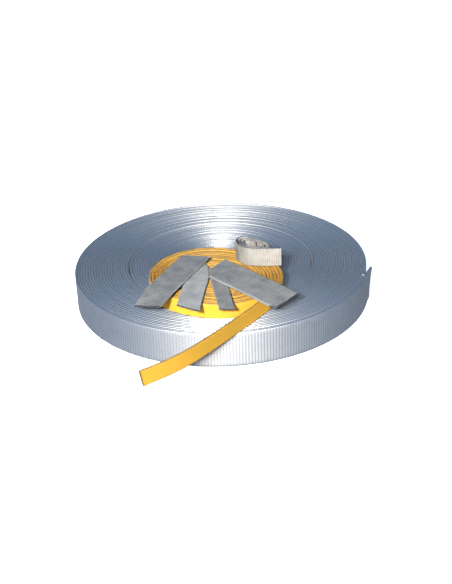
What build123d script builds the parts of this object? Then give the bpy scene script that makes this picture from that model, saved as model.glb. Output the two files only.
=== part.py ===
"""A rolled fire hose with a smaller hose coiled on top of it and cut hose samples laid over both.

Units are millimetres and +Z is up. The origin is on the floor at the axis of the big roll. Every hose
is a lay-flat one: a jacket woven or moulded as a tube, with a rubber liner inside it, pressed flat.
"""

from build123d import *
from math import atan2, cos, degrees, hypot, radians, sin, tan
import os

# One set of sizes per hose: flat width, flat thickness and the walls of its jacket and its liner.
BIG = {"width": 43.5, "flat": 3.15, "jacket": 0.9, "liner": 0.4}
YELLOW = {"width": 20.0, "flat": 3.5, "jacket": 0.95, "liner": 0.45}
WHITE = {"width": 23.5, "flat": 2.2, "jacket": 0.6, "liner": 0.25}
LEFT = {"width": 34.3, "flat": 3.0, "jacket": 0.85, "liner": 0.4}
MIDDLE = {"width": 27.4, "flat": 2.8, "jacket": 0.8, "liner": 0.35}
NARROW = {"width": 18.1, "flat": 2.4, "jacket": 0.65, "liner": 0.3}
PLY_GAP = 0.15  # between a jacket and its liner
REST_GAP = 0.3  # between two pieces that lie on each other

# The big roll: 49 turns of the big hose, wound counter-clockwise, standing on their edges.
ROLL_RADIUS = 182.7  # at the free end; half a turn back it is half a pitch less
ROLL_TURNS = 49
ROLL_PITCH = 3.35
PEEL_START = 165.0  # degrees of the last half turn before the free end leaves the roll
PEEL_RADIUS, PEEL_ANGLE = 150.0, 7.0

# The yellow coil: an oval of 15 turns on top of the roll, wound clockwise, nearer the front.
COIL_CENTRE = (-7.5, -78.3)
COIL_AXIS = -27.0  # direction of the oval's long axis
COIL_RADIUS = 73.1  # of the rounded ends, outside the last full turn
COIL_STRAIGHT = 16.8  # length of the straight sides between them
COIL_TURNS = 15
COIL_PITCH = 4.0
COIL_LAST = 96.5  # degrees of the last bend before the tail leaves it

# The yellow tail, seen from above: each run's length and direction from the coil to the cut end.
TAIL_RUNS = [(30, -123.5), (40, -127.5), (40, -128.3), (40, -130.0), (36, -136.3), (30, -146.0)]
FILLET_SHARE = 0.45  # how much of the shorter run beside a corner its arc takes

# The small white roll: a pinched loop, its corners counter-clockwise from the front's right end.
PINCH = [(71.5, -61.2), (33.0, -22.0), (16.2, -27.0), (19.5, -49.5), (34.0, -63.2)]
PINCH_CENTRE = (36.8, -47.0)
PINCH_TURNS = 3
PINCH_STEP = 0.225  # each turn is this much of the outer one smaller
PINCH_END = (71.0, -63.2)

# Levels of what lies on what.
ROLL_TOP = BIG["width"]
COIL_BASE = ROLL_TOP + REST_GAP
COIL_TOP = COIL_BASE + YELLOW["width"]
TABLE = COIL_TOP + REST_GAP
CUTTER_HEIGHT = 200.0  # well above everything

# The samples. Heading is the direction of the middle line seen from above, offset its distance from
# the origin, base the height of its underside and start where the length begins. Moves are its bends
# as (straight run, radius, degrees), down negative. Outline is the shape cut by hand out of that
# length, as (along, across) from the foot of the middle line, so the ends are as uneven as cuts are.
SAMPLES = {
    "middle_sample": {
        "hose": MIDDLE, "heading": -98.0, "offset": -15.6, "base": TABLE, "start": 45.0,
        "moves": [(105.0, 80.0, -2.0), (20.0, None, 0)],
        "outline": [
            (52, -15), (56, 4.1), (71, 10.8), (80, 11.2), (92, 13.6), (93, 15), (171.3, 15), (158.5, -15)
        ],
    },
    "left_sample": {
        "hose": LEFT, "heading": -115.5, "offset": -10.05, "base": TABLE + MIDDLE["flat"] + REST_GAP,
        "start": 40.0, "moves": [(100.0, 60.0, -8.0), (30.0, None, 0)],
        "outline": [(44.0, 20), (54.0, -20), (173.5, -20), (173.5, 20)],
    },
    "narrow_sample": {
        "hose": NARROW, "heading": -83.0, "offset": -15.7, "base": TABLE, "start": 80.0,
        "moves": [(100.0, None, 0)],
        "outline": [(89.0, -12), (93.0, 12), (168.0, 12), (164.8, -12)],
    },
    "right_sample": {
        "hose": BIG, "heading": -48.65, "offset": -51.2, "base": TABLE + NARROW["flat"] + REST_GAP,
        "start": 38.0, "moves": [(90.0, 150.0, -2.0), (40.0, None, 0)],
        "outline": [
            (41.9, 24), (48.9, -11.4), (60, -20), (62, -24),
            (152, -24), (165, -19), (166.5, -16), (161.5, 24),
        ],
    },
}


def edge_line(start, heading, moves, shift):
    """The path that starts at start and follows moves, moved sideways to its left by shift.

    A move is (straight run, radius, degrees): the run, then a bend, left-handed if positive.
    """
    x = start[0] - shift * sin(radians(heading))
    y = start[1] + shift * cos(radians(heading))
    edges = []
    for run, radius, turn in moves:
        if run:
            end = (x + run * cos(radians(heading)), y + run * sin(radians(heading)))
            edges.append(Line((x, y), end))
            x, y = end
        if turn:
            bend = radius - shift if turn > 0 else radius + shift
            tangent = (cos(radians(heading)), sin(radians(heading)))
            edges.append(JernArc((x, y), tangent, bend, turn))
            side = 1 if turn > 0 else -1
            x += side * bend * (sin(radians(heading + turn)) - sin(radians(heading)))
            y -= side * bend * (cos(radians(heading + turn)) - cos(radians(heading)))
            heading += turn
    return edges


def band(plane, start, heading, moves, flat, low, high):
    """A band of even thickness along a path in a plane, between two levels above the plane."""
    left = edge_line(start, heading, moves, flat / 2)
    right = edge_line(start, heading, moves, -flat / 2)
    caps = [Line(left[0] @ 0, right[0] @ 0), Line(left[-1] @ 1, right[-1] @ 1)]
    face = make_face(left + right + caps)
    return plane.offset(low) * extrude(face, high - low, dir=(0, 0, 1))


def tube(plane, start, heading, moves, flat, width, wall, inset):
    """A flattened tube along a path: a band with a band cut out of it, open at both ends."""
    outer = band(plane, start, heading, moves, flat, inset, width - inset)
    inner = band(plane, start, heading, moves, flat - 2 * wall, inset + wall, width - inset - wall)
    return outer - inner


def hose(plane, start, heading, moves, sizes):
    """The jacket of a hose along a path, and the liner inside it."""
    lining = sizes["jacket"] + PLY_GAP
    jacket = tube(plane, start, heading, moves, sizes["flat"], sizes["width"], sizes["jacket"], 0)
    liner = tube(
        plane, start, heading, moves, sizes["flat"] - 2 * lining, sizes["width"], sizes["liner"], lining
    )
    return jacket, liner


def write(name, shape):
    shape.label = name
    export_step(shape, f"parts/{name}.step")


def write_hose(name, plies):
    for ply, shape in zip(("jacket", "liner"), plies):
        write(f"{name}_{ply}", shape)


def big_roll():
    """Half turns whose radius grows by half the pitch each, then the free end peeling outwards."""
    first = ROLL_RADIUS - BIG["flat"] / 2 - ROLL_TURNS * ROLL_PITCH
    radii = [first + ROLL_PITCH / 4 + k * ROLL_PITCH / 2 for k in range(2 * ROLL_TURNS)]
    moves = [(0, radius, 180) for radius in radii[:-1]]
    moves += [(0, radii[-1], PEEL_START), (0, PEEL_RADIUS, -PEEL_ANGLE)]
    return hose(Plane.XY, (first, 0), 90, moves, BIG), moves


def coil_start():
    """The inner end of the yellow coil, in the roll's frame, and the radius of its first bend."""
    first = COIL_RADIUS - YELLOW["flat"] / 2 - COIL_PITCH / 4 - COIL_TURNS * COIL_PITCH
    along, across = COIL_STRAIGHT / 2, first
    turn = radians(COIL_AXIS)
    x = COIL_CENTRE[0] + along * cos(turn) - across * sin(turn)
    y = COIL_CENTRE[1] + along * sin(turn) + across * cos(turn)
    return (x, y), first + COIL_PITCH / 4


def yellow_coil():
    start, bend = coil_start()
    halves = 2 * COIL_TURNS
    moves = [(COIL_STRAIGHT if k else 0, bend + k * COIL_PITCH / 2, -180) for k in range(halves)]
    moves.append((COIL_STRAIGHT, bend + halves * COIL_PITCH / 2, -COIL_LAST))
    plane = Plane.XY.offset(COIL_BASE)
    return hose(plane, start, COIL_AXIS, moves, YELLOW), moves


def path_end(start, heading, moves):
    end = edge_line(start, heading, moves, 0)[-1] @ 1
    return end.X, end.Y


def rounded_moves(points):
    """The runs between points, with each corner as large an arc as its two runs allow."""
    runs = [(b[0] - a[0], b[1] - a[1]) for a, b in zip(points, points[1:])]
    lengths = [hypot(*run) for run in runs]
    headings = [degrees(atan2(run[1], run[0])) for run in runs]
    moves, used, radii = [], 0, []
    for k in range(len(runs) - 1):
        turn = (headings[k + 1] - headings[k] + 180) % 360 - 180
        cut = FILLET_SHARE * min(lengths[k], lengths[k + 1])
        radius = cut / tan(radians(abs(turn) / 2))
        moves.append((lengths[k] - used - cut, radius, turn))
        radii.append(round(radius, 1))
        used = cut
    moves.append((lengths[-1] - used, None, 0))
    return moves, headings[0], radii


def yellow_tail(start):
    points = [start]
    for length, heading in TAIL_RUNS:
        x, y = points[-1]
        points.append((x + length * cos(radians(heading)), y + length * sin(radians(heading))))
    moves, heading, radii = rounded_moves(points)
    print("tail radii", radii)
    return hose(Plane.XY.offset(COIL_BASE), start, heading, moves, YELLOW), moves


def white_roll():
    """The pinched loop's corners, drawn in to its centre by an even step a turn, from a short start."""
    corners = len(PINCH)
    points = []
    for k in range(PINCH_TURNS * corners):
        scale = 1 - PINCH_STEP * (PINCH_TURNS * corners - 1 - k) / corners
        x, y = PINCH[k % corners]
        cx, cy = PINCH_CENTRE
        points.append((cx + scale * (x - cx), cy + scale * (y - cy)))
    points[0] = tuple((a + b) / 2 for a, b in zip(points[0], points[1]))
    points.append(PINCH_END)
    moves, heading, radii = rounded_moves(points)
    print("white roll radii", radii)
    return hose(Plane.XY.offset(TABLE), points[0], heading, moves, WHITE), moves


def sample(spec):
    """A cut length of hose lying flat: bent in an upright plane, then cut to its outline."""
    sizes, angle = spec["hose"], radians(spec["heading"])
    along, across = Vector(cos(angle), sin(angle)), Vector(-sin(angle), cos(angle))
    foot = across * spec["offset"]
    middle = foot + along * spec["start"] + Vector(0, 0, spec["base"] + sizes["flat"] / 2)
    side = middle + across * (sizes["width"] / 2)
    plane = Plane(origin=side, x_dir=along, z_dir=across * -1)
    corners = [foot + along * s + across * t for s, t in spec["outline"]]
    outline = extrude(make_face(Polyline(*corners, close=True)), CUTTER_HEIGHT, dir=(0, 0, 1))
    return [ply & outline for ply in hose(plane, (0, 0), 0, spec["moves"], sizes)]


def section_area(sizes):
    """The area of a jacket's cut face: a rectangle with a rectangle taken out of it."""
    wall = 2 * sizes["jacket"]
    return sizes["width"] * sizes["flat"] - (sizes["width"] - wall) * (sizes["flat"] - wall)


def length_of(moves):
    return sum(run + (radius * radians(abs(turn)) if turn else 0) for run, radius, turn in moves)


os.makedirs("parts", exist_ok=True)
plies, moves = big_roll()
write_hose("roll", plies)
print("big hose", round(length_of(moves)), "mm")
plies, moves = yellow_coil()
write_hose("yellow_coil", plies)
start, _ = coil_start()
tail_plies, tail_moves = yellow_tail(path_end(start, COIL_AXIS, moves))
write_hose("yellow_tail", tail_plies)
tail_length = length_of(tail_moves)
print("yellow coil", round(length_of(moves)), "mm, tail", round(tail_length), "mm")
print("tail jacket", round(tail_plies[0].volume), "mm3")
print("its section x length", round(section_area(YELLOW) * tail_length), "mm3")
plies, moves = white_roll()
write_hose("white_roll", plies)
print("white hose", round(length_of(moves)), "mm")
for name, spec in SAMPLES.items():
    write_hose(name, sample(spec))
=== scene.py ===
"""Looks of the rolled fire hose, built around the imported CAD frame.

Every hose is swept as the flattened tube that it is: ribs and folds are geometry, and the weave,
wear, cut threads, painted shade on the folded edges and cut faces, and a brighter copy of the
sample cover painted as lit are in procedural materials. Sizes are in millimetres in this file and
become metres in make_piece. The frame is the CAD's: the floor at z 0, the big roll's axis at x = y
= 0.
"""

import math
import bmesh
import bpy
import numpy as np
from mathutils import Matrix, Vector


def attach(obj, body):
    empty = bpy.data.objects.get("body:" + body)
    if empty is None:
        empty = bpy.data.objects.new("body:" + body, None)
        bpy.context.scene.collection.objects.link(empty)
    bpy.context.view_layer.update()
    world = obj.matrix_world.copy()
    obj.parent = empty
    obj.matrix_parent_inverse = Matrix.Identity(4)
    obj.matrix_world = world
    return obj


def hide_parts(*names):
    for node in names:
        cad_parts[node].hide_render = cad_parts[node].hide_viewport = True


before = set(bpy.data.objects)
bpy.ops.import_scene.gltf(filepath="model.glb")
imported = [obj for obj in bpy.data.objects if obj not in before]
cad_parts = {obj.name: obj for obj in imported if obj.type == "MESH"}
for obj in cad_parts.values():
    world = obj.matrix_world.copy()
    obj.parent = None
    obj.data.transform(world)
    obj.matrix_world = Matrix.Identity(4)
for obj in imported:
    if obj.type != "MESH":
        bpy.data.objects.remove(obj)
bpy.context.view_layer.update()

MM = 0.001

# ---------------------------------------------------------------- camera
CAMERA_DISTANCE = 1357.5
CAMERA_ELEVATION = 27.83  # degrees above the floor
CAMERA_ROLL = -2.15  # degrees
CAMERA_LENS = 66.27
CAMERA_SHIFT = (0.0065, -0.0019)
CAMERA_SEES = 50  # in metres, far enough for the whole floor


def make_camera():
    """A camera that looks at the middle of the roll's underside from the front, tipped a little."""
    elevation, roll = math.radians(CAMERA_ELEVATION), math.radians(CAMERA_ROLL)
    back = Vector((0, -math.cos(elevation), math.sin(elevation)))
    right = Vector((1, 0, 0))
    up = back.cross(right)
    tipped_right = math.cos(roll) * right + math.sin(roll) * up
    tipped_up = math.cos(roll) * up - math.sin(roll) * right
    data = bpy.data.cameras.new("camera")
    data.lens = CAMERA_LENS
    data.shift_x, data.shift_y = CAMERA_SHIFT
    data.clip_end = CAMERA_SEES
    camera = bpy.data.objects.new("camera", data)
    turn = Matrix((tipped_right, tipped_up, back)).transposed().to_4x4()
    camera.matrix_world = Matrix.Translation(back * CAMERA_DISTANCE * MM) @ turn
    bpy.context.scene.collection.objects.link(camera)
    bpy.context.scene.camera = camera


make_camera()


# ---------------------------------------------------------------- nodes and materials
MIX_COLOUR_INPUTS = (0, 6, 7)  # the Mix node's factor, A and B when it mixes colours
MIX_COLOUR_OUTPUT = 2


def add_node(tree, kind, *inputs, **settings):
    """A shader node with its inputs in order: None leaves one alone, a socket is linked to it."""
    made = tree.nodes.new("ShaderNode" + kind)
    for key, value in settings.items():
        setattr(made, key, value)
    for socket, value in zip(made.inputs, inputs):
        if isinstance(value, bpy.types.NodeSocket):
            tree.links.new(value, socket)
        elif value is not None:
            socket.default_value = value
    return made


def maths(tree, operation, *inputs):
    return add_node(tree, "Math", *inputs, operation=operation).outputs[0]


def mix(tree, factor, a, b, blend="MIX"):
    made = tree.nodes.new("ShaderNodeMix")
    made.data_type, made.blend_type = "RGBA", blend
    for index, value in zip(MIX_COLOUR_INPUTS, (factor, a, b)):
        if isinstance(value, bpy.types.NodeSocket):
            tree.links.new(value, made.inputs[index])
        else:
            made.inputs[index].default_value = value
    return made.outputs[MIX_COLOUR_OUTPUT]


def spread(tree, value, low, high, to_low=0.0, to_high=1.0):
    """value between low and high, spread over to_low to to_high and held there outside."""
    return add_node(tree, "MapRange", value, low, high, to_low, to_high, clamp=True).outputs[0]


def noise(tree, where, scale, detail):
    made = tree.nodes.new("ShaderNodeTexNoise")
    tree.links.new(where, made.inputs["Vector"])
    made.inputs["Scale"].default_value, made.inputs["Detail"].default_value = scale, detail
    return made.outputs[0]


def bump(tree, shader, height, strength, depth):
    """Stands a height pattern depth millimetres out of the surface."""
    made = tree.nodes.new("ShaderNodeBump")
    made.inputs["Strength"].default_value = strength
    made.inputs["Distance"].default_value = depth * MM
    tree.links.new(height, made.inputs["Height"])
    tree.links.new(made.outputs[0], shader.inputs["Normal"])


def rgb(*values):
    return (*values, 1.0)


CUT_MARK = -1.0  # what the map 'place' holds on a cut
YARN_IOR = 1.8
BUMP_STRENGTH = 0.7


def hose_material(
    name, *, wall, shade, edge, cut, core, rib, yarn, depth, rough, edge_rough, fleck, gloss
):
    """A woven or moulded hose cover.

    wall and shade are the colours that its yarns vary between, edge that of the folded edges, which
    is partly dirt and partly painted shade that darkens the folds, cut that of the threads beside a
    cut end and core that of the cut itself, which is painted dark as the shade that a cut end lies
    in. rib and yarn are the spacings of the cross ribs and the lengthwise yarns, depth is how far
    the yarns stand out and fleck how much they differ in colour. rough and edge_rough are the
    roughness of the walls and of the folded edges, and gloss is how strong the yarns' sheen is. The
    map 'weave' holds millimetres along and round the hose, and 'place' the distance to the nearest
    cut end, which is negative on the cut itself, and how near a point is to a folded edge's crest.
    """
    material = bpy.data.materials.new(name)
    material.use_nodes = True
    tree = material.node_tree
    shader = tree.nodes["Principled BSDF"]
    weave = add_node(tree, "SeparateXYZ", add_node(tree, "UVMap", uv_map="weave").outputs[0])
    place = add_node(tree, "SeparateXYZ", add_node(tree, "UVMap", uv_map="place").outputs[0])
    along, around = weave.outputs[0], weave.outputs[1]
    from_cut, fold = place.outputs[0], place.outputs[1]
    ribs = maths(tree, "SINE", maths(tree, "MULTIPLY", along, 2 * math.pi / rib))
    yarns = maths(tree, "SINE", maths(tree, "MULTIPLY", around, 2 * math.pi / yarn))
    cloth = maths(tree, "MULTIPLY_ADD", yarns, 0.55, maths(tree, "MULTIPLY", ribs, 0.45))
    cell = add_node(tree, "CombineXYZ", along, around, 0.0).outputs[0]
    threads = noise(tree, cell, 0.55, 3.0)
    where = add_node(tree, "TexCoord").outputs["Object"]
    blotches, patches = noise(tree, where, 80.0, 3.0), noise(tree, where, 7.0, 2.0)
    tone = maths(tree, "MULTIPLY_ADD", cloth, 0.45 * fleck, threads)
    tone = maths(tree, "MULTIPLY_ADD", maths(tree, "SUBTRACT", blotches, 0.5), 1.2 * fleck, tone)
    colour = mix(tree, spread(tree, tone, 0.15, 0.8), rgb(*shade), rgb(*wall))
    colour = mix(tree, spread(tree, patches, 0.35, 0.6, 0.3, 0.0), colour, rgb(*shade))
    # Painted shade, partly dirt: the folded edges are drawn towards the darker edge colour,
    # unevenly in blotches, so the edges of the hoses that stand on edge look shaded on top.
    uneven = spread(tree, blotches, 0.3, 0.8, 1.0, 0.7)
    fold_shade_and_dirt = maths(tree, "MULTIPLY", spread(tree, fold, 0.0, 0.75), uneven)
    shaded_fold_colour = mix(tree, spread(tree, tone, 0.2, 0.95, 0.0, 0.35), rgb(*edge), rgb(*wall))
    colour = mix(tree, fold_shade_and_dirt, colour, shaded_fold_colour)
    frayed = maths(tree, "MULTIPLY_ADD", threads, 1.8, -0.6)
    rim = spread(tree, maths(tree, "SUBTRACT", from_cut, frayed), 0.1, 0.9, 1.0, 0.0)
    colour = mix(tree, rim, colour, rgb(*cut))
    # Painted shade: the cut face itself is painted dark, as the shade that a cut end lies in.
    colour = mix(tree, maths(tree, "LESS_THAN", from_cut, CUT_MARK / 2), colour, rgb(*core))
    tree.links.new(colour, shader.inputs["Base Color"])
    satin = spread(tree, fold, 0.1, 0.6, rough, edge_rough)
    worn = maths(tree, "MULTIPLY_ADD", threads, 0.2, -0.08)
    tree.links.new(maths(tree, "ADD", satin, worn), shader.inputs["Roughness"])
    raised = maths(tree, "MULTIPLY_ADD", ribs, 0.12, yarns)
    raised = maths(tree, "MULTIPLY_ADD", threads, 0.3, raised)
    flatter = spread(tree, fold, 0.0, 0.5, 1.0, 0.12)
    bump(tree, shader, maths(tree, "MULTIPLY", raised, flatter), BUMP_STRENGTH, depth)
    on_fold = spread(tree, fold, 0.1, 0.6, gloss, 0.7 * gloss)
    in_groove = spread(tree, ribs, -0.9, 0.6, 0.7, 1.0)
    shine = maths(tree, "MULTIPLY", on_fold, in_groove)
    tree.links.new(shine, shader.inputs["Specular IOR Level"])
    shader.inputs["IOR"].default_value = YARN_IOR
    return material


# In each cover, edge is partly dirt and partly painted shade on the folded edges, and on the white
# roll it is a dark blue painted shade for its shaded inner turns. core is a painted shade on the
# cut faces.
MATERIALS = {
    "roll": hose_material(
        "roll_weave", wall=(0.085, 0.115, 0.165), shade=(0.045, 0.068, 0.11),
        edge=(0.064, 0.098, 0.152), cut=(0.30, 0.31, 0.32), core=(0.10, 0.11, 0.13),
        rib=3.5, yarn=1.05, depth=0.09, rough=0.53, edge_rough=0.45, fleck=1.0, gloss=1.0,
    ),
    "yellow": hose_material(
        "yellow_cover", wall=(0.92, 0.475, 0.052), shade=(0.85, 0.425, 0.045),
        edge=(0.205, 0.132, 0.058), cut=(0.40, 0.23, 0.06), core=(0.20, 0.12, 0.04),
        rib=1.9, yarn=1.3, depth=0.04, rough=0.5, edge_rough=0.5, fleck=0.3, gloss=0.03,
    ),
    "white": hose_material(
        "white_weave", wall=(0.44, 0.40, 0.345), shade=(0.24, 0.225, 0.20),
        edge=(0.05, 0.068, 0.10), cut=(0.30, 0.29, 0.27), core=(0.16, 0.16, 0.16),
        rib=2.1, yarn=1.3, depth=0.25, rough=0.5, edge_rough=0.5, fleck=1.2, gloss=0.12,
    ),
    "sample": hose_material(
        "sample_weave", wall=(0.33, 0.32, 0.30), shade=(0.13, 0.13, 0.135),
        edge=(0.24, 0.24, 0.24), cut=(0.38, 0.37, 0.35), core=(0.04, 0.04, 0.042),
        rib=2.4, yarn=1.5, depth=0.22, rough=0.55, edge_rough=0.55, fleck=1.4, gloss=0.2,
    ),
    # A copy of the sample cover painted brighter: painted light for the middle sample, which lies
    # where the light is strongest.
    "painted_light_sample": hose_material(
        "painted_light_sample_weave", wall=(0.50, 0.49, 0.46), shade=(0.25, 0.24, 0.24),
        edge=(0.34, 0.33, 0.32), cut=(0.48, 0.46, 0.43), core=(0.07, 0.065, 0.06),
        rib=2.4, yarn=1.5, depth=0.22, rough=0.55, edge_rough=0.55, fleck=1.4, gloss=0.2,
    ),
}


def rubber_material(name, base, worn, rough):
    """Smooth rubber with faint mould streaks and a few paler scuffs."""
    material = bpy.data.materials.new(name)
    material.use_nodes = True
    tree = material.node_tree
    shader = tree.nodes["Principled BSDF"]
    where = add_node(tree, "TexCoord").outputs["Object"]
    scuffs, grain = noise(tree, where, 160.0, 4.0), noise(tree, where, 1400.0, 2.0)
    colour = mix(tree, spread(tree, scuffs, 0.5, 0.75, 0.0, 0.7), rgb(*base), rgb(*worn))
    tree.links.new(colour, shader.inputs["Base Color"])
    tree.links.new(spread(tree, scuffs, 0.3, 0.7, rough, rough + 0.2), shader.inputs["Roughness"])
    bump(tree, shader, grain, 0.3, 0.05)
    return material


MATERIALS["liner"] = rubber_material(
    "black_rubber", base=(0.03, 0.03, 0.033), worn=(0.08, 0.08, 0.085), rough=0.5
)
MATERIALS["yellow_liner"] = rubber_material(
    "brown_rubber", base=(0.26, 0.13, 0.03), worn=(0.36, 0.2, 0.06), rough=0.45
)


# ---------------------------------------------------------------- hoses
# Each hose: flat width and thickness, its jacket's and its liner's wall, the spacing of its ribs
# and how deep they are.
BIG = {"width": 43.5, "flat": 3.15, "jacket": 0.9, "liner": 0.4, "rib": 3.5, "deep": 0.09}
YELLOW = {"width": 20.0, "flat": 3.5, "jacket": 0.95, "liner": 0.45, "rib": 1.9, "deep": 0.0}
WHITE = {"width": 23.5, "flat": 2.2, "jacket": 0.6, "liner": 0.25, "rib": 2.1, "deep": 0.16}
LEFT = {"width": 34.3, "flat": 3.0, "jacket": 0.85, "liner": 0.4, "rib": 2.4, "deep": 0.12}
MIDDLE = {"width": 27.4, "flat": 2.8, "jacket": 0.8, "liner": 0.35, "rib": 2.4, "deep": 0.12}
NARROW = {"width": 18.1, "flat": 2.4, "jacket": 0.65, "liner": 0.3, "rib": 2.1, "deep": 0.1}
PLY_GAP = 0.15  # between a jacket and its liner
REST_GAP = 0.3  # between two pieces that lie on each other
WAIST = 0.08  # how much thinner a flattened hose is at its middle than at its folded edges
SHOWN_AS = {"jacket": "cover", "liner": "lining"}
MOUTH_DEPTH = 9.0  # how far in a cut end's inside is modelled on the big roll
FAR = 1e3  # further from any cut end than its frayed edge shows
UP = np.array([0.0, 0.0, 1.0])
WELD = 1e-6  # how near two points are joined, in metres
SHARP_ANGLE = 75  # degrees between two faces from which their edge stays sharp


def wander(seed, at, step, amount):
    """Smooth random values between -amount and amount, with a new one about every step."""
    knots = np.random.default_rng(seed).uniform(-1, 1, int(np.max(at) / step) + 3)
    where = at / step
    low = np.floor(where).astype(int)
    share = where - low
    share = share * share * (3 - 2 * share)
    return amount * (knots[low] * (1 - share) + knots[low + 1] * share)


def ease(value, low, high):
    """0 below low, 1 above high and smooth in between."""
    share = np.clip((value - low) / (high - low), 0, 1)
    return share * share * (3 - 2 * share)


def section(width, flat, fold, wall):
    """A flattened tube's outline, as rows a (through it), b (across it), their normals and fold.

    Each folded edge has fold faces and each wall has wall points between the folds. The walls pull
    in a little, because a folded edge is the thickest part of a flattened hose. The fold row is 1
    on a folded edge's crest and 0 on the walls.
    """
    bend = np.linspace(0, np.pi, fold + 1)
    half, reach = flat / 2, width / 2 - flat / 2
    steps = np.linspace(reach, -reach, wall + 2)[1:-1]
    waist = half * (1 - WAIST * (1 - (steps / reach) ** 2))
    none, one = np.zeros(wall), np.ones(wall)
    a = np.concatenate([half * np.cos(bend), -waist, -half * np.cos(bend), waist])
    b = np.concatenate([reach + half * np.sin(bend), steps, -reach - half * np.sin(bend), -steps])
    na = np.concatenate([np.cos(bend), -one, -np.cos(bend), one])
    nb = np.concatenate([np.sin(bend), none, -np.sin(bend), none])
    crest = np.concatenate([np.sin(bend), none, np.sin(bend), none])
    return np.stack([a, b, na, nb, crest])


def plies(sizes, fold, wall):
    """The outlines of a hose's jacket and liner, each as its outside and its inside."""
    jacket, liner = sizes["jacket"], sizes["liner"]
    insets = (0, jacket, jacket + PLY_GAP, jacket + PLY_GAP + liner)
    return [section(sizes["width"] - 2 * i, sizes["flat"] - 2 * i, fold, wall) for i in insets]


def groove(at, rib):
    """1 in the groove between two cross ribs and 0 on a rib's crest."""
    return (0.5 + 0.5 * np.cos(2 * np.pi * at / rib)) ** 1.5


class Route:
    """A smooth line in the row frame, in millimetres, read at any distance along it."""

    def __init__(self, points):
        self.points = np.asarray(points, float)
        steps = np.linalg.norm(np.diff(self.points, axis=0), axis=1)
        self.at = np.concatenate([[0], np.cumsum(steps)])
        self.length = float(self.at[-1])
        self.heading = np.gradient(self.points, self.at, axis=0)

    def read(self, at):
        """The points and the unit directions at those distances."""
        place = np.stack([np.interp(at, self.at, self.points[:, k]) for k in range(3)], 1)
        way = np.stack([np.interp(at, self.at, self.heading[:, k]) for k in range(3)], 1)
        return place, way / np.linalg.norm(way, axis=1)[:, None]


def sweep(route, at, outline, outwards, rib=0.0, rise=0.0, lean=0.0, swell=1.0, slant=0.0):
    """Rings (count, size, 3) of a hose that stands on edge along a route.

    outwards is 1 if its outer side is on the left of the route and -1 if it is on the right. rib is
    how far the surface is drawn in, rise how far the upper edge is lifted, lean how far it is
    pushed outwards, swell how much thicker the hose is and slant how far the upper edge is pushed
    along the route, each one number or one a ring.
    """
    a, b, na, nb, _ = outline
    rib, rise, lean, swell, slant = (
        np.broadcast_to(np.asarray(value, float), (len(at),))[:, None]
        for value in (rib, rise, lean, swell, slant)
    )
    place, way = route.read(at)
    out = outwards * np.cross(UP, way)
    share = (b / np.abs(b).max() + 1) / 2
    sideways = a * swell - na * rib + lean * share**2
    upwards = b - nb * rib + rise * share
    return (
        place[:, None, :] + sideways[..., None] * out[:, None, :] + upwards[..., None] * UP
        + (slant * share)[..., None] * way[:, None, :]
    )


def strip(rings, along, outline, from_cut):
    """One smooth surface of a piece: rings of points and what the material reads at each."""
    count, size = rings.shape[:2]
    around = np.linalg.norm(np.diff(outline[:2], axis=1, append=outline[:2, :1]), axis=0)
    return {
        "rings": rings,
        "along": np.broadcast_to(np.reshape(along, (count, -1)), (count, size)),
        "around": np.concatenate([[0], np.cumsum(around)]),
        "from_cut": np.broadcast_to(np.reshape(from_cut, (count, -1)), (count, size)),
        "fold": outline[4],
    }


def strip_faces(part, inside):
    """A strip's quads and their corners' two maps. inside turns them to face the hollow."""
    count, size = part["rings"].shape[:2]
    i, j = np.meshgrid(np.arange(count - 1), np.arange(size), indexing="ij")
    k = (j + 1) % size
    rows, columns = (i, i, i + 1, i + 1), (j, k, k, j)
    around = (j, j + 1, j + 1, j)
    quads = np.stack([r * size + c for r, c in zip(rows, columns)], -1).reshape(-1, 4)
    u = np.stack([part["along"][r, c] for r, c in zip(rows, columns)], -1).reshape(-1, 4)
    v = np.stack([part["around"][c] for c in around], -1).reshape(-1, 4)
    cut = np.stack([part["from_cut"][r, c] for r, c in zip(rows, columns)], -1).reshape(-1, 4)
    fold = np.stack([part["fold"][c] for c in columns], -1).reshape(-1, 4)
    if inside:
        quads, u, v, cut, fold = (x[:, ::-1] for x in (quads, u, v, cut, fold))
    return quads, np.stack([u, v], -1).reshape(-1, 2), np.stack([cut, fold], -1).reshape(-1, 2)


def facing(part):
    """Whether a strip's quads, unturned, face out of the ring or along its own 'away'."""
    rings = part["rings"]
    middle = len(rings) // 2
    ring, before, after = rings[middle], rings[middle - 1], rings[min(middle + 1, len(rings) - 1)]
    normal = np.cross(ring[1] - ring[-1], after[0] - before[0])
    away = part.get("away", ring[0] - ring.mean(0))
    return float(normal @ away) > 0


def end_way(part, ring):
    """The direction out of the first ring (0) or the last one (-1) of a strip."""
    rings = part["rings"]
    return (rings[0] - rings[1] if ring == 0 else rings[-1] - rings[-2]).mean(0)


def lip(outer, inner, ring):
    """The flat ring of a cut end between the outside and the inside of a ply."""
    rings = np.stack([outer["rings"][ring], inner["rings"][ring]])
    none = np.zeros(rings.shape[:2])
    return {
        "rings": rings, "along": none, "around": outer["around"], "from_cut": none + CUT_MARK,
        "fold": outer["fold"] * 0, "away": end_way(outer, ring),
    }


def tube(outer, inner):
    """The strips of a ply that is hollow all the way, each with whether it faces the hollow."""
    lips = [(lip(outer, inner, ring), False) for ring in (0, -1)]
    return [(outer, False), (inner, True)] + lips


def flat_cap(corners, away):
    """Corner numbers of the flat face through a ring of points, in the order that faces away."""
    spokes = corners - corners.mean(0)
    normal = np.cross(spokes, np.roll(spokes, -1, axis=0)).sum(0)
    order = list(range(len(corners)))
    return order if float(normal @ away) > 0 else order[::-1]


def weld(mesh):
    """Joins the strips where they meet, and keeps the edges of the cut ends sharp."""
    joined = bmesh.new()
    joined.from_mesh(mesh)
    bmesh.ops.remove_doubles(joined, verts=joined.verts, dist=WELD)
    joined.to_mesh(mesh)
    joined.free()
    mesh.set_sharp_from_angle(angle=math.radians(SHARP_ANGLE))


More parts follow.
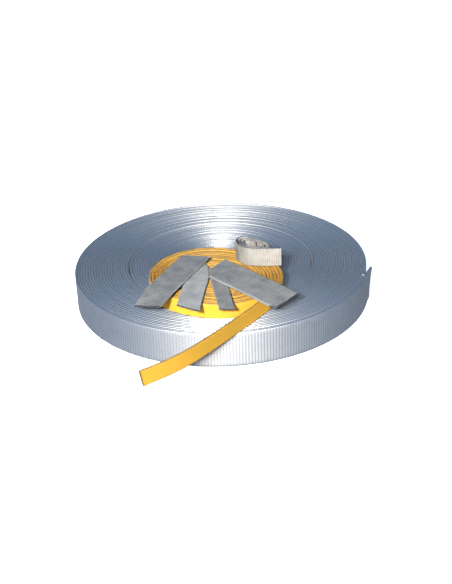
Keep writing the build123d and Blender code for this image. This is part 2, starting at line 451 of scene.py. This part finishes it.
def make_piece(name, strips, material, body, replaced, caps=()):
    """A mesh of strips that rides on a body. strips is (strip, whether it faces the hollow).

    caps is (ring of points, direction it faces) for the flat faces that close the piece where the
    hose goes on in another one.
    """
    points, faces, weaves, places, count = [], [], [], [], 0
    for part, hollow in strips:
        quads, weave, place = strip_faces(part, facing(part) == hollow)
        points.append(part["rings"].reshape(-1, 3))
        faces += (quads + count).tolist()
        weaves.append(weave)
        places.append(place)
        count += len(points[-1])
    for corners, away in caps:
        faces.append([count + i for i in flat_cap(corners, away)])
        points.append(corners)
        weaves.append(np.zeros((len(corners), 2)))
        places.append(np.tile((FAR, 0.0), (len(corners), 1)))
        count += len(corners)
    mesh = bpy.data.meshes.new(name)
    mesh.from_pydata(np.concatenate(points) * MM, [], faces)
    mesh.polygons.foreach_set("use_smooth", np.ones(len(mesh.polygons), bool))
    for label, values in (("weave", weaves), ("place", places)):
        layer = mesh.uv_layers.new(name=label)
        layer.data.foreach_set("uv", np.concatenate(values).astype(np.float32).ravel())
    mesh.materials.append(MATERIALS[material])
    weld(mesh)
    piece = bpy.data.objects.new(name, mesh)
    bpy.context.scene.collection.objects.link(piece)
    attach(piece, body)
    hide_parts(*replaced)
    return piece


def line_through(points):
    """The smooth line of a NURBS spline whose control points are these, in millimetres."""
    curve = bpy.data.curves.new("route", "CURVE")
    curve.dimensions = "3D"
    spline = curve.splines.new("NURBS")
    spline.points.add(len(points) - 1)
    for point, place in zip(spline.points, points):
        point.co = (*place, 1.0)
    spline.order_u = 3
    spline.use_endpoint_u = True
    spline.resolution_u = 24
    carrier = bpy.data.objects.new("route", curve)
    mesh = bpy.data.meshes.new_from_object(carrier)
    line = np.array([v.co for v in mesh.vertices], float)
    bpy.data.objects.remove(carrier)
    bpy.data.meshes.remove(mesh)
    bpy.data.curves.remove(curve)
    return line


# ---------------------------------------------------------------- the coil and its free end
COIL_CENTRE = np.array([-7.5, -78.3])
COIL_AXIS = -27.0  # degrees, of the oval's long axis
COIL_RADIUS = 73.1  # of its rounded ends
COIL_STRAIGHT = 16.8  # the length of the straight sides between them
COIL_TURNS = 15
COIL_PITCH = 4.0
COIL_LAST = 96.5  # degrees of the last bend before the free end leaves it
COIL_BASE = BIG["width"] + REST_GAP
TAIL_START = (59.03, -122.39)
# The free end's runs seen from above, each as its length and its direction in degrees.
TAIL_RUNS = [(30, -123.5), (40, -127.5), (40, -128.3), (40, -130.0), (36, -136.3), (30, -146.0)]


def tail_points():
    """The free end's route, from where it leaves the coil to its cut end."""
    points = [(*TAIL_START, COIL_BASE + YELLOW["width"] / 2)]
    for length, heading in TAIL_RUNS:
        x, y, z = points[-1]
        turn = math.radians(heading)
        points.append((x + length * math.cos(turn), y + length * math.sin(turn), z))
    return points


def coil_line():
    """The coil: an oval spiral, clockwise, whose turns are not quite evenly apart."""
    total = 180.0 * 2 * COIL_TURNS + COIL_LAST
    turned = np.linspace(0, total, int(total / 2))
    first = COIL_RADIUS - YELLOW["flat"] / 2 - COIL_PITCH / 4 - COIL_TURNS * COIL_PITCH
    radius = first + COIL_PITCH * turned / 360 + wander(11, turned, 150.0, 0.35)
    facing_way = np.radians(COIL_AXIS + 90 - turned)
    axis = math.radians(COIL_AXIS)
    across = np.cos(facing_way - axis)
    shift = COIL_STRAIGHT / 2 * np.tanh(3.5 * across)
    x = COIL_CENTRE[0] + shift * math.cos(axis) + radius * np.cos(facing_way)
    y = COIL_CENTRE[1] + shift * math.sin(axis) + radius * np.sin(facing_way)
    late = ease(turned, total - 200, total)
    x += (TAIL_START[0] - x[-1]) * late
    y += (TAIL_START[1] - y[-1]) * late
    return np.stack([x, y, np.full(len(x), COIL_BASE + YELLOW["width"] / 2)], 1)


def coil_rise(at, length):
    """How high the coil's upper edge stands: uneven, but level where the free end starts."""
    last = ease(at, length - 150, length)
    return -0.5 + wander(22, at, 160.0, 0.5) * (1 - last) + 0.5 * last


def edge_hose(
    name, route, sizes, outwards, body, step, detail, style, slots, starts=True, stops=True, **shape
):
    """A jacket and a liner along a route, both hollow all the way. Returns the two pieces.

    step is how far apart the rings are and detail section's fold and wall. style is the materials
    of the jacket and the liner, and slots the record's slots for them, which are not used. starts
    and stops say whether the route's two ends are cut ends (the hose may go on in another piece).
    shape holds functions of the distance along the route and its length, for sweep's rise, lean,
    swell and slant.
    """
    at = np.linspace(0, route.length, int(route.length / step) + 1)
    from_cut = np.full(len(at), FAR)
    if starts:
        from_cut = np.minimum(from_cut, at)
    if stops:
        from_cut = np.minimum(from_cut, route.length - at)
    moves = {key: value(at, route.length) for key, value in shape.items()}
    ribs = sizes["deep"] * groove(at, sizes["rib"])
    made = []
    outlines = plies(sizes, *detail)
    for ply, k, material, slot in zip(("jacket", "liner"), (0, 2), style, slots):
        rings = [
            sweep(route, at, outlines[k + inner], outwards, rib=0 if k or inner else ribs, **moves)
            for inner in (0, 1)
        ]
        outer, inner = (strip(r, at, outlines[k], from_cut) for r in rings)
        shown = f"{name}_{SHOWN_AS[ply]}"
        made.append(make_piece(shown, tube(outer, inner), material, body, [f"{name}_{ply}"]))
    return made


tail_route = Route(line_through(tail_points()))
tail_jacket, tail_liner = edge_hose(
    "yellow_tail", tail_route, YELLOW, outwards=1, body="yellow_coil", step=1.5, detail=(8, 8),
    style=("yellow", "yellow_liner"), slots=("yellow_jacket", "yellow_liner"), starts=False,
    rise=lambda at, length: wander(21, at, 60.0, 0.25),
    swell=lambda at, length: 1 + 0.1 * ease(at, length - 12, length),
    slant=lambda at, length: 3.6 * ease(at, length - 40, length),
)
edge_hose(
    "yellow_coil", Route(coil_line()), YELLOW, outwards=1, body="yellow_coil", step=2.6,
    detail=(6, 3), style=("yellow", "yellow_liner"), slots=("yellow_jacket", "yellow_liner"),
    stops=False, rise=coil_rise,
)


# ---------------------------------------------------------------- the big roll
ROLL_RADIUS = 182.7
ROLL_TURNS = 49
ROLL_PITCH = 3.35
PEEL_START = 165.0  # degrees of the last half turn before the free end leaves the roll
PEEL_RADIUS, PEEL_ANGLE = 150.0, 7.0
PEEL_LEAN, PEEL_REACH = 2.6, 26.0  # how far its upper edge leans out, and over what length
GAP_RADIUS = 113.5  # where the winding has slackened, and shows a dark ring
GAP_REACH, GAP_SHARE = 14.0, 0.9  # how far the turns beside it have closed up, and by how much
LINER_RINGS = 4900


def roll_line():
    """The big roll: a spiral, counter-clockwise, with a loose turn, then its peeling free end."""
    total = 180.0 * (2 * ROLL_TURNS - 1) + PEEL_START
    turned = np.linspace(0, total, int(total / 1.5))
    first = ROLL_RADIUS - BIG["flat"] / 2 - ROLL_TURNS * ROLL_PITCH
    radius = first + ROLL_PITCH * turned / 360
    off = (radius - GAP_RADIUS) / GAP_REACH
    radius += GAP_SHARE * np.tanh(off * 12) * np.exp(-(off**2))
    radius[turned < total - 400] += wander(31, turned, 220.0, 0.09)[turned < total - 400]
    way = np.radians(turned)
    line = np.stack([radius * np.cos(way), radius * np.sin(way)], 1)
    tangent = line[-1] - line[-2]
    heading = math.atan2(tangent[1], tangent[0])
    bends = np.radians(np.linspace(0, PEEL_ANGLE, 15)[1:])
    centre = line[-1] + PEEL_RADIUS * np.array([math.sin(heading), -math.cos(heading)])
    peel = centre + PEEL_RADIUS * np.stack([-np.sin(heading - bends), np.cos(heading - bends)], 1)
    flat = np.concatenate([line, peel])
    return np.concatenate([flat, np.full((len(flat), 1), BIG["width"] / 2)], 1)


def roll_rise(at, length):
    """How much lower than its full height each part of the hose sits, by where it was wound."""
    low = 0.35 + wander(41, at, 420.0, 0.26) + wander(42, at, 90.0, 0.08)
    return -np.clip(low, 0, None) * (1 - 0.7 * ease(at, length - 1300, length - 900))


def roll_lean(at, length):
    """How far outwards the upper edge leans, which is only at the free end."""
    return PEEL_LEAN * ease(at, length - PEEL_REACH, length)


def roll_pieces():
    """The jacket in four lengths, from the middle outwards, and its liner.

    The jacket is hollow only near its two cut ends, where it can be seen into.
    """
    route = Route(roll_line())
    radius = np.linalg.norm(route.points[:, :2], axis=1)
    gap = float(route.at[np.argmax(radius > GAP_RADIUS)])
    third = float(route.at[np.argmax(radius > 0.5 * (GAP_RADIUS + ROLL_RADIUS))])
    last = route.length - 2 * math.pi * (ROLL_RADIUS + 1)
    # Each length: its name, where it starts and stops, its rings a rib and section's fold and wall.
    spans = [
        ("roll_first_turns", 0.0, gap, 2, (4, 0)),
        ("roll_middle_turns", gap, third, 2, (4, 0)),
        ("roll_later_turns", third, last, 2, (4, 0)),
        ("roll_last_turn", last, route.length, 4, (8, 11)),
    ]
    for name, start, stop, per_rib, detail in spans:
        first_ring = math.ceil(start / BIG["rib"]) * per_rib
        last_ring = math.floor(stop / BIG["rib"]) * per_rib
        at = np.arange(first_ring, last_ring + 1) * (BIG["rib"] / per_rib)
        outlines = plies(BIG, *detail)
        from_cut = np.minimum(at, route.length - at)
        rings = sweep(
            route, at, outlines[0], -1, rib=BIG["deep"] * groove(at, BIG["rib"]),
            rise=roll_rise(at, route.length), lean=roll_lean(at, route.length),
        )
        outer = strip(rings, at, outlines[0], from_cut)
        strips, caps = [(outer, False)], []
        for ring in (0, -1):
            if from_cut[ring] > BIG["rib"]:
                caps.append((outer["rings"][ring], end_way(outer, ring)))
                continue
            inwards = np.linspace(0, MOUTH_DEPTH, 7)
            deep = at[0] + inwards if ring == 0 else at[-1] - inwards[::-1]
            inside = sweep(
                route, deep, outlines[1], -1, rise=roll_rise(deep, route.length),
                lean=roll_lean(deep, route.length),
            )
            inner = strip(inside, deep, outlines[1], np.minimum(deep, route.length - deep))
            strips += [(inner, True), (lip(outer, inner, ring), False)]
            far = -1 if ring == 0 else 0
            caps.append((inner["rings"][far], -end_way(inner, far)))
        make_piece(name, strips, "roll", "roll", ["roll_jacket"], caps)
    at = np.linspace(0, math.floor(route.length / BIG["rib"]) * BIG["rib"], LINER_RINGS)
    moves = {"rise": roll_rise(at, route.length), "lean": roll_lean(at, route.length)}
    from_cut = np.minimum(at, route.length - at)
    outer, inner = (
        strip(sweep(route, at, outline, -1, **moves), at, outline, from_cut)
        for outline in plies(BIG, 3, 1)[2:]
    )
    make_piece("roll_lining", tube(outer, inner), "liner", "roll", ["roll_liner"])


roll_pieces()


# ---------------------------------------------------------------- the white roll
# The corners of its outer turn, counter-clockwise from the front's right end.
PINCH = [(71.5, -61.2), (33.0, -22.0), (16.2, -27.0), (19.5, -49.5), (34.0, -63.2)]
PINCH_CENTRE = (36.8, -47.0)
PINCH_TURNS = 3
PINCH_STEP = 0.225  # each turn is this much of the outer one smaller
PINCH_END = (71.0, -63.2)
TABLE = COIL_BASE + YELLOW["width"] + REST_GAP  # where what lies on the coil rests


def pinch_points():
    """The white roll's route: a pinched loop drawn in a little at each turn, from a short start."""
    corners, points = len(PINCH), []
    for k in range(PINCH_TURNS * corners):
        scale = 1 - PINCH_STEP * (PINCH_TURNS * corners - 1 - k) / corners
        x, y = PINCH[k % corners]
        cx, cy = PINCH_CENTRE
        points.append((cx + scale * (x - cx), cy + scale * (y - cy)))
    points[0] = tuple((a + b) / 2 for a, b in zip(points[0], points[1]))
    points.append(PINCH_END)
    return [(x, y, TABLE + WHITE["width"] / 2) for x, y in points]


edge_hose(
    "white_roll", Route(line_through(pinch_points())), WHITE, outwards=-1, body="white_roll",
    step=WHITE["rib"] / 4, detail=(8, 8), style=("white", "liner"), slots=("white_jacket", "liner"),
    rise=lambda at, length: -0.3 + wander(51, at, 40.0, 0.35),
)


# ---------------------------------------------------------------- the samples
# Heading is the direction of the middle line seen from above, offset its distance from the origin
# and base the height of the underside. Slopes are (distance along, degrees down), twist is how much
# less the left side droops than the right one, and far and near are the two cut edges, as points
# (across, along).
SAMPLES = {
    "middle_sample": {
        "hose": MIDDLE, "heading": -98.0, "offset": -15.6, "base": TABLE,
        "slopes": [(150, 0), (153, 2)], "twist": 0.0,
        "far": [(-15, 52), (4.1, 56), (10.8, 71), (11.2, 80), (13.6, 92), (15, 93)],
        "near": [(-15, 158.5), (15, 171.3)],
        # Its cover is the brighter copy of the sample cover, painted as lit.
        "cover": "painted_light_sample", "rests_on": "yellow_coil_cover",
    },
    "left_sample": {
        "hose": LEFT, "heading": -115.5, "offset": -10.05,
        "base": TABLE + MIDDLE["flat"] + REST_GAP,
        "slopes": [(138, 0), (148, 8)], "twist": 0.7,
        "far": [(-20, 54), (20, 44)],
        "near": [(-20, 173.5), (20, 173.5)],
        "cover": "sample", "rests_on": "middle_sample_cover",
    },
    "narrow_sample": {
        "hose": NARROW, "heading": -83.0, "offset": -15.7, "base": TABLE,
        "slopes": [(0, 0), (1, 0)], "twist": 0.0,
        "far": [(-12, 89), (12, 93)],
        "near": [(-12, 164.8), (12, 168)],
        "cover": "sample", "rests_on": "yellow_coil_cover",
    },
    "right_sample": {
        "hose": BIG, "heading": -48.65, "offset": -51.2,
        "base": TABLE + NARROW["flat"] + REST_GAP,
        "slopes": [(128, 0), (133, 2)], "twist": 0.0,
        "far": [(-24, 62), (-20, 60), (-11.4, 48.9), (24, 41.9)],
        "near": [(-24, 152), (-19, 165), (-16, 166.5), (24, 161.5)],
        "cover": "sample", "rests_on": "narrow_sample_cover",
    },
}
LONGEST_SAMPLE = 200  # no sample reaches further along its heading


def sample_rings(spec, outline, rings, deep):
    """Rings of a flat sample. Its ends follow the cuts, so a ring is not square to its length."""
    a, b, na, nb, _ = outline
    turn = math.radians(spec["heading"])
    along = np.array([math.cos(turn), math.sin(turn), 0])
    across = np.array([-math.sin(turn), math.cos(turn), 0])
    starts = np.interp(b, *zip(*spec["far"]))
    stops = np.interp(b, *zip(*spec["near"]))
    at = starts + (stops - starts) * np.linspace(0, 1, rings)[:, None]
    fine = np.linspace(0, LONGEST_SAMPLE, 4 * LONGEST_SAMPLE + 1)
    down = np.radians(np.interp(fine, *zip(*spec["slopes"])))
    drop = np.concatenate([[0], np.cumsum(np.tan(down[1:]) * np.diff(fine))])
    droops = 1 - spec["twist"] * b / np.abs(b).max()
    z = spec["base"] + spec["hose"]["flat"] / 2 - np.interp(at, fine, drop) * droops
    tilt = np.interp(at, fine, down)
    rib = deep * groove(at, spec["hose"]["rib"])
    through = a - na * rib
    forward = at + through * np.sin(tilt)
    sideways = spec["offset"] + b - nb * rib
    upwards = z + through * np.cos(tilt)
    moves = ((forward, along), (sideways, across), (upwards, UP))
    return sum(x[..., None] * way for x, way in moves), at, np.minimum(at - starts, stops - at)


def sample_piece(name, spec):
    """A sample's jacket and liner, and its length between the middles of its two cut edges."""
    sizes = spec["hose"]
    outlines = plies(sizes, 6, 22)
    length = np.mean([y for _, y in spec["near"]]) - np.mean([y for _, y in spec["far"]])
    rings = int(length / (sizes["rib"] / 4)) + 1
    styles, slots = (spec["cover"], "liner"), ("sample_jacket", "liner")
    made = []
    for ply, k, material, slot in zip(("jacket", "liner"), (0, 2), styles, slots):
        sides = []
        for inner in (0, 1):
            deep = 0.0 if k or inner else sizes["deep"]
            points, at, from_cut = sample_rings(spec, outlines[k + inner], rings, deep)
            sides.append(strip(points, at, outlines[k], from_cut))
        shown = f"{name}_{SHOWN_AS[ply]}"
        made.append(make_piece(shown, tube(*sides), material, name, [f"{name}_{ply}"]))
    return made, length


for name, spec in SAMPLES.items():
    (cover, lining), length = sample_piece(name, spec)


# ---------------------------------------------------------------- floor and light
FLOOR_HALF = 8.0  # in metres
FLOOR_BELOW = 0.0005
FLOOR_GLOW = 0.95
LAMP_AIM = Vector((0, -0.05, 0.02))
LAMP_SIZE = 0.25


def plain_material(name, colour, glow):
    material = bpy.data.materials.new(name)
    material.use_nodes = True
    shader = material.node_tree.nodes["Principled BSDF"]
    shader.inputs["Base Color"].default_value = rgb(*colour)
    shader.inputs["Roughness"].default_value = 0.9
    shader.inputs["Emission Color"].default_value = rgb(1, 1, 1)
    shader.inputs["Emission Strength"].default_value = glow
    return material


def make_floor():
    mesh = bpy.data.meshes.new("floor")
    corners = [(FLOOR_HALF * x, FLOOR_HALF * y, 0) for x, y in ((-1, -1), (1, -1), (1, 1), (-1, 1))]
    mesh.from_pydata(corners, [], [(0, 1, 2, 3)])
    mesh.materials.append(plain_material("floor", (0.8, 0.8, 0.8), FLOOR_GLOW))
    floor = bpy.data.objects.new("floor", mesh)
    floor.location.z = -FLOOR_BELOW
    floor.visible_diffuse = False
    floor.visible_glossy = False
    bpy.context.scene.collection.objects.link(floor)


def area_light(name, place, power, colour, satin=False):
    """A square lamp aimed at the hoses. satin makes it one that only shows in the yarns' sheen."""
    data = bpy.data.lights.new(name, "AREA")
    data.shape = "RECTANGLE"
    data.size = data.size_y = LAMP_SIZE
    data.energy = power
    data.color = colour
    light = bpy.data.objects.new(name, data)
    light.location = place
    light.rotation_euler = (LAMP_AIM - Vector(place)).to_track_quat("-Z", "Y").to_euler()
    light.visible_diffuse = not satin
    bpy.context.scene.collection.objects.link(light)


def make_world(colour, strength):
    world = bpy.data.worlds.new("world")
    world.use_nodes = True
    background = world.node_tree.nodes["Background"]
    background.inputs["Color"].default_value = rgb(*colour)
    background.inputs["Strength"].default_value = strength
    bpy.context.scene.world = world


make_floor()
make_world(colour=(0.20, 0.52, 1.0), strength=0.36)
area_light("key", place=(-0.50, -2.1, 1.33), power=122, colour=(1.0, 0.98, 0.92))
area_light("satin", place=(-0.10, -2.1, 1.25), power=680, colour=(1.0, 0.95, 0.86), satin=True)
bpy.context.scene.view_settings.view_transform = "Standard"
